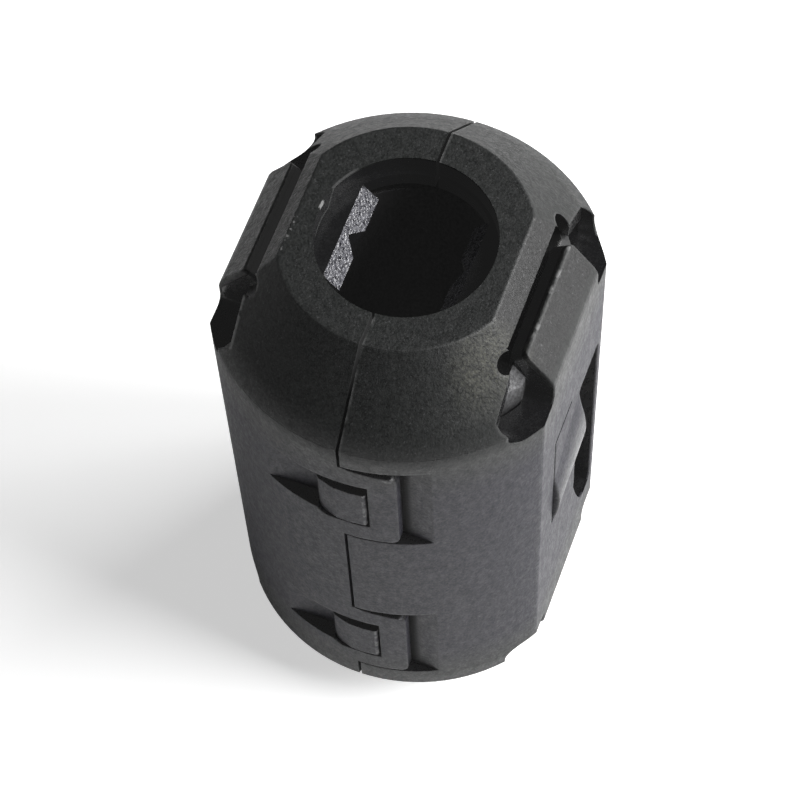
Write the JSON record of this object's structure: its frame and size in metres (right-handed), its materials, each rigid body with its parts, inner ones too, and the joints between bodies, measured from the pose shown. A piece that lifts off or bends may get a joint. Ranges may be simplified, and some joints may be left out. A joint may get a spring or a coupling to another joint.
{
  "type": "ferrite_clip",
  "caption": "Black clip-on ferrite bead for a cable: two hinged plastic half shells with latches, each holding half of a ferrite core",
  "frame": {"origin": "centre of the bottom end face, on the axis of the cable passage", "axes": "+Z along the cable passage, which is the longest side; -Y is the latch side and +Y the hinge side; X runs across the two flats"},
  "size_m": [0.0186, 0.02, 0.036],
  "materials": {
    "shell_plastic": "fine-grained black moulded plastic",
    "core_ferrite": "sintered dark grey ferrite"
  },
  "bodies": {
    "left_half": {"shell_left": "shell_plastic", "core_left": "core_ferrite"},
    "right_half": {"shell_right": "shell_plastic", "core_right": "core_ferrite"}
  },
  "joints": [
    {"name": "hinge", "type": "hinge", "parent": "left_half", "child": "right_half", "pos_m": [0, 0.01, 0.018], "axis": [0, 0, 1], "range_deg": [0, 180]}
  ]
}
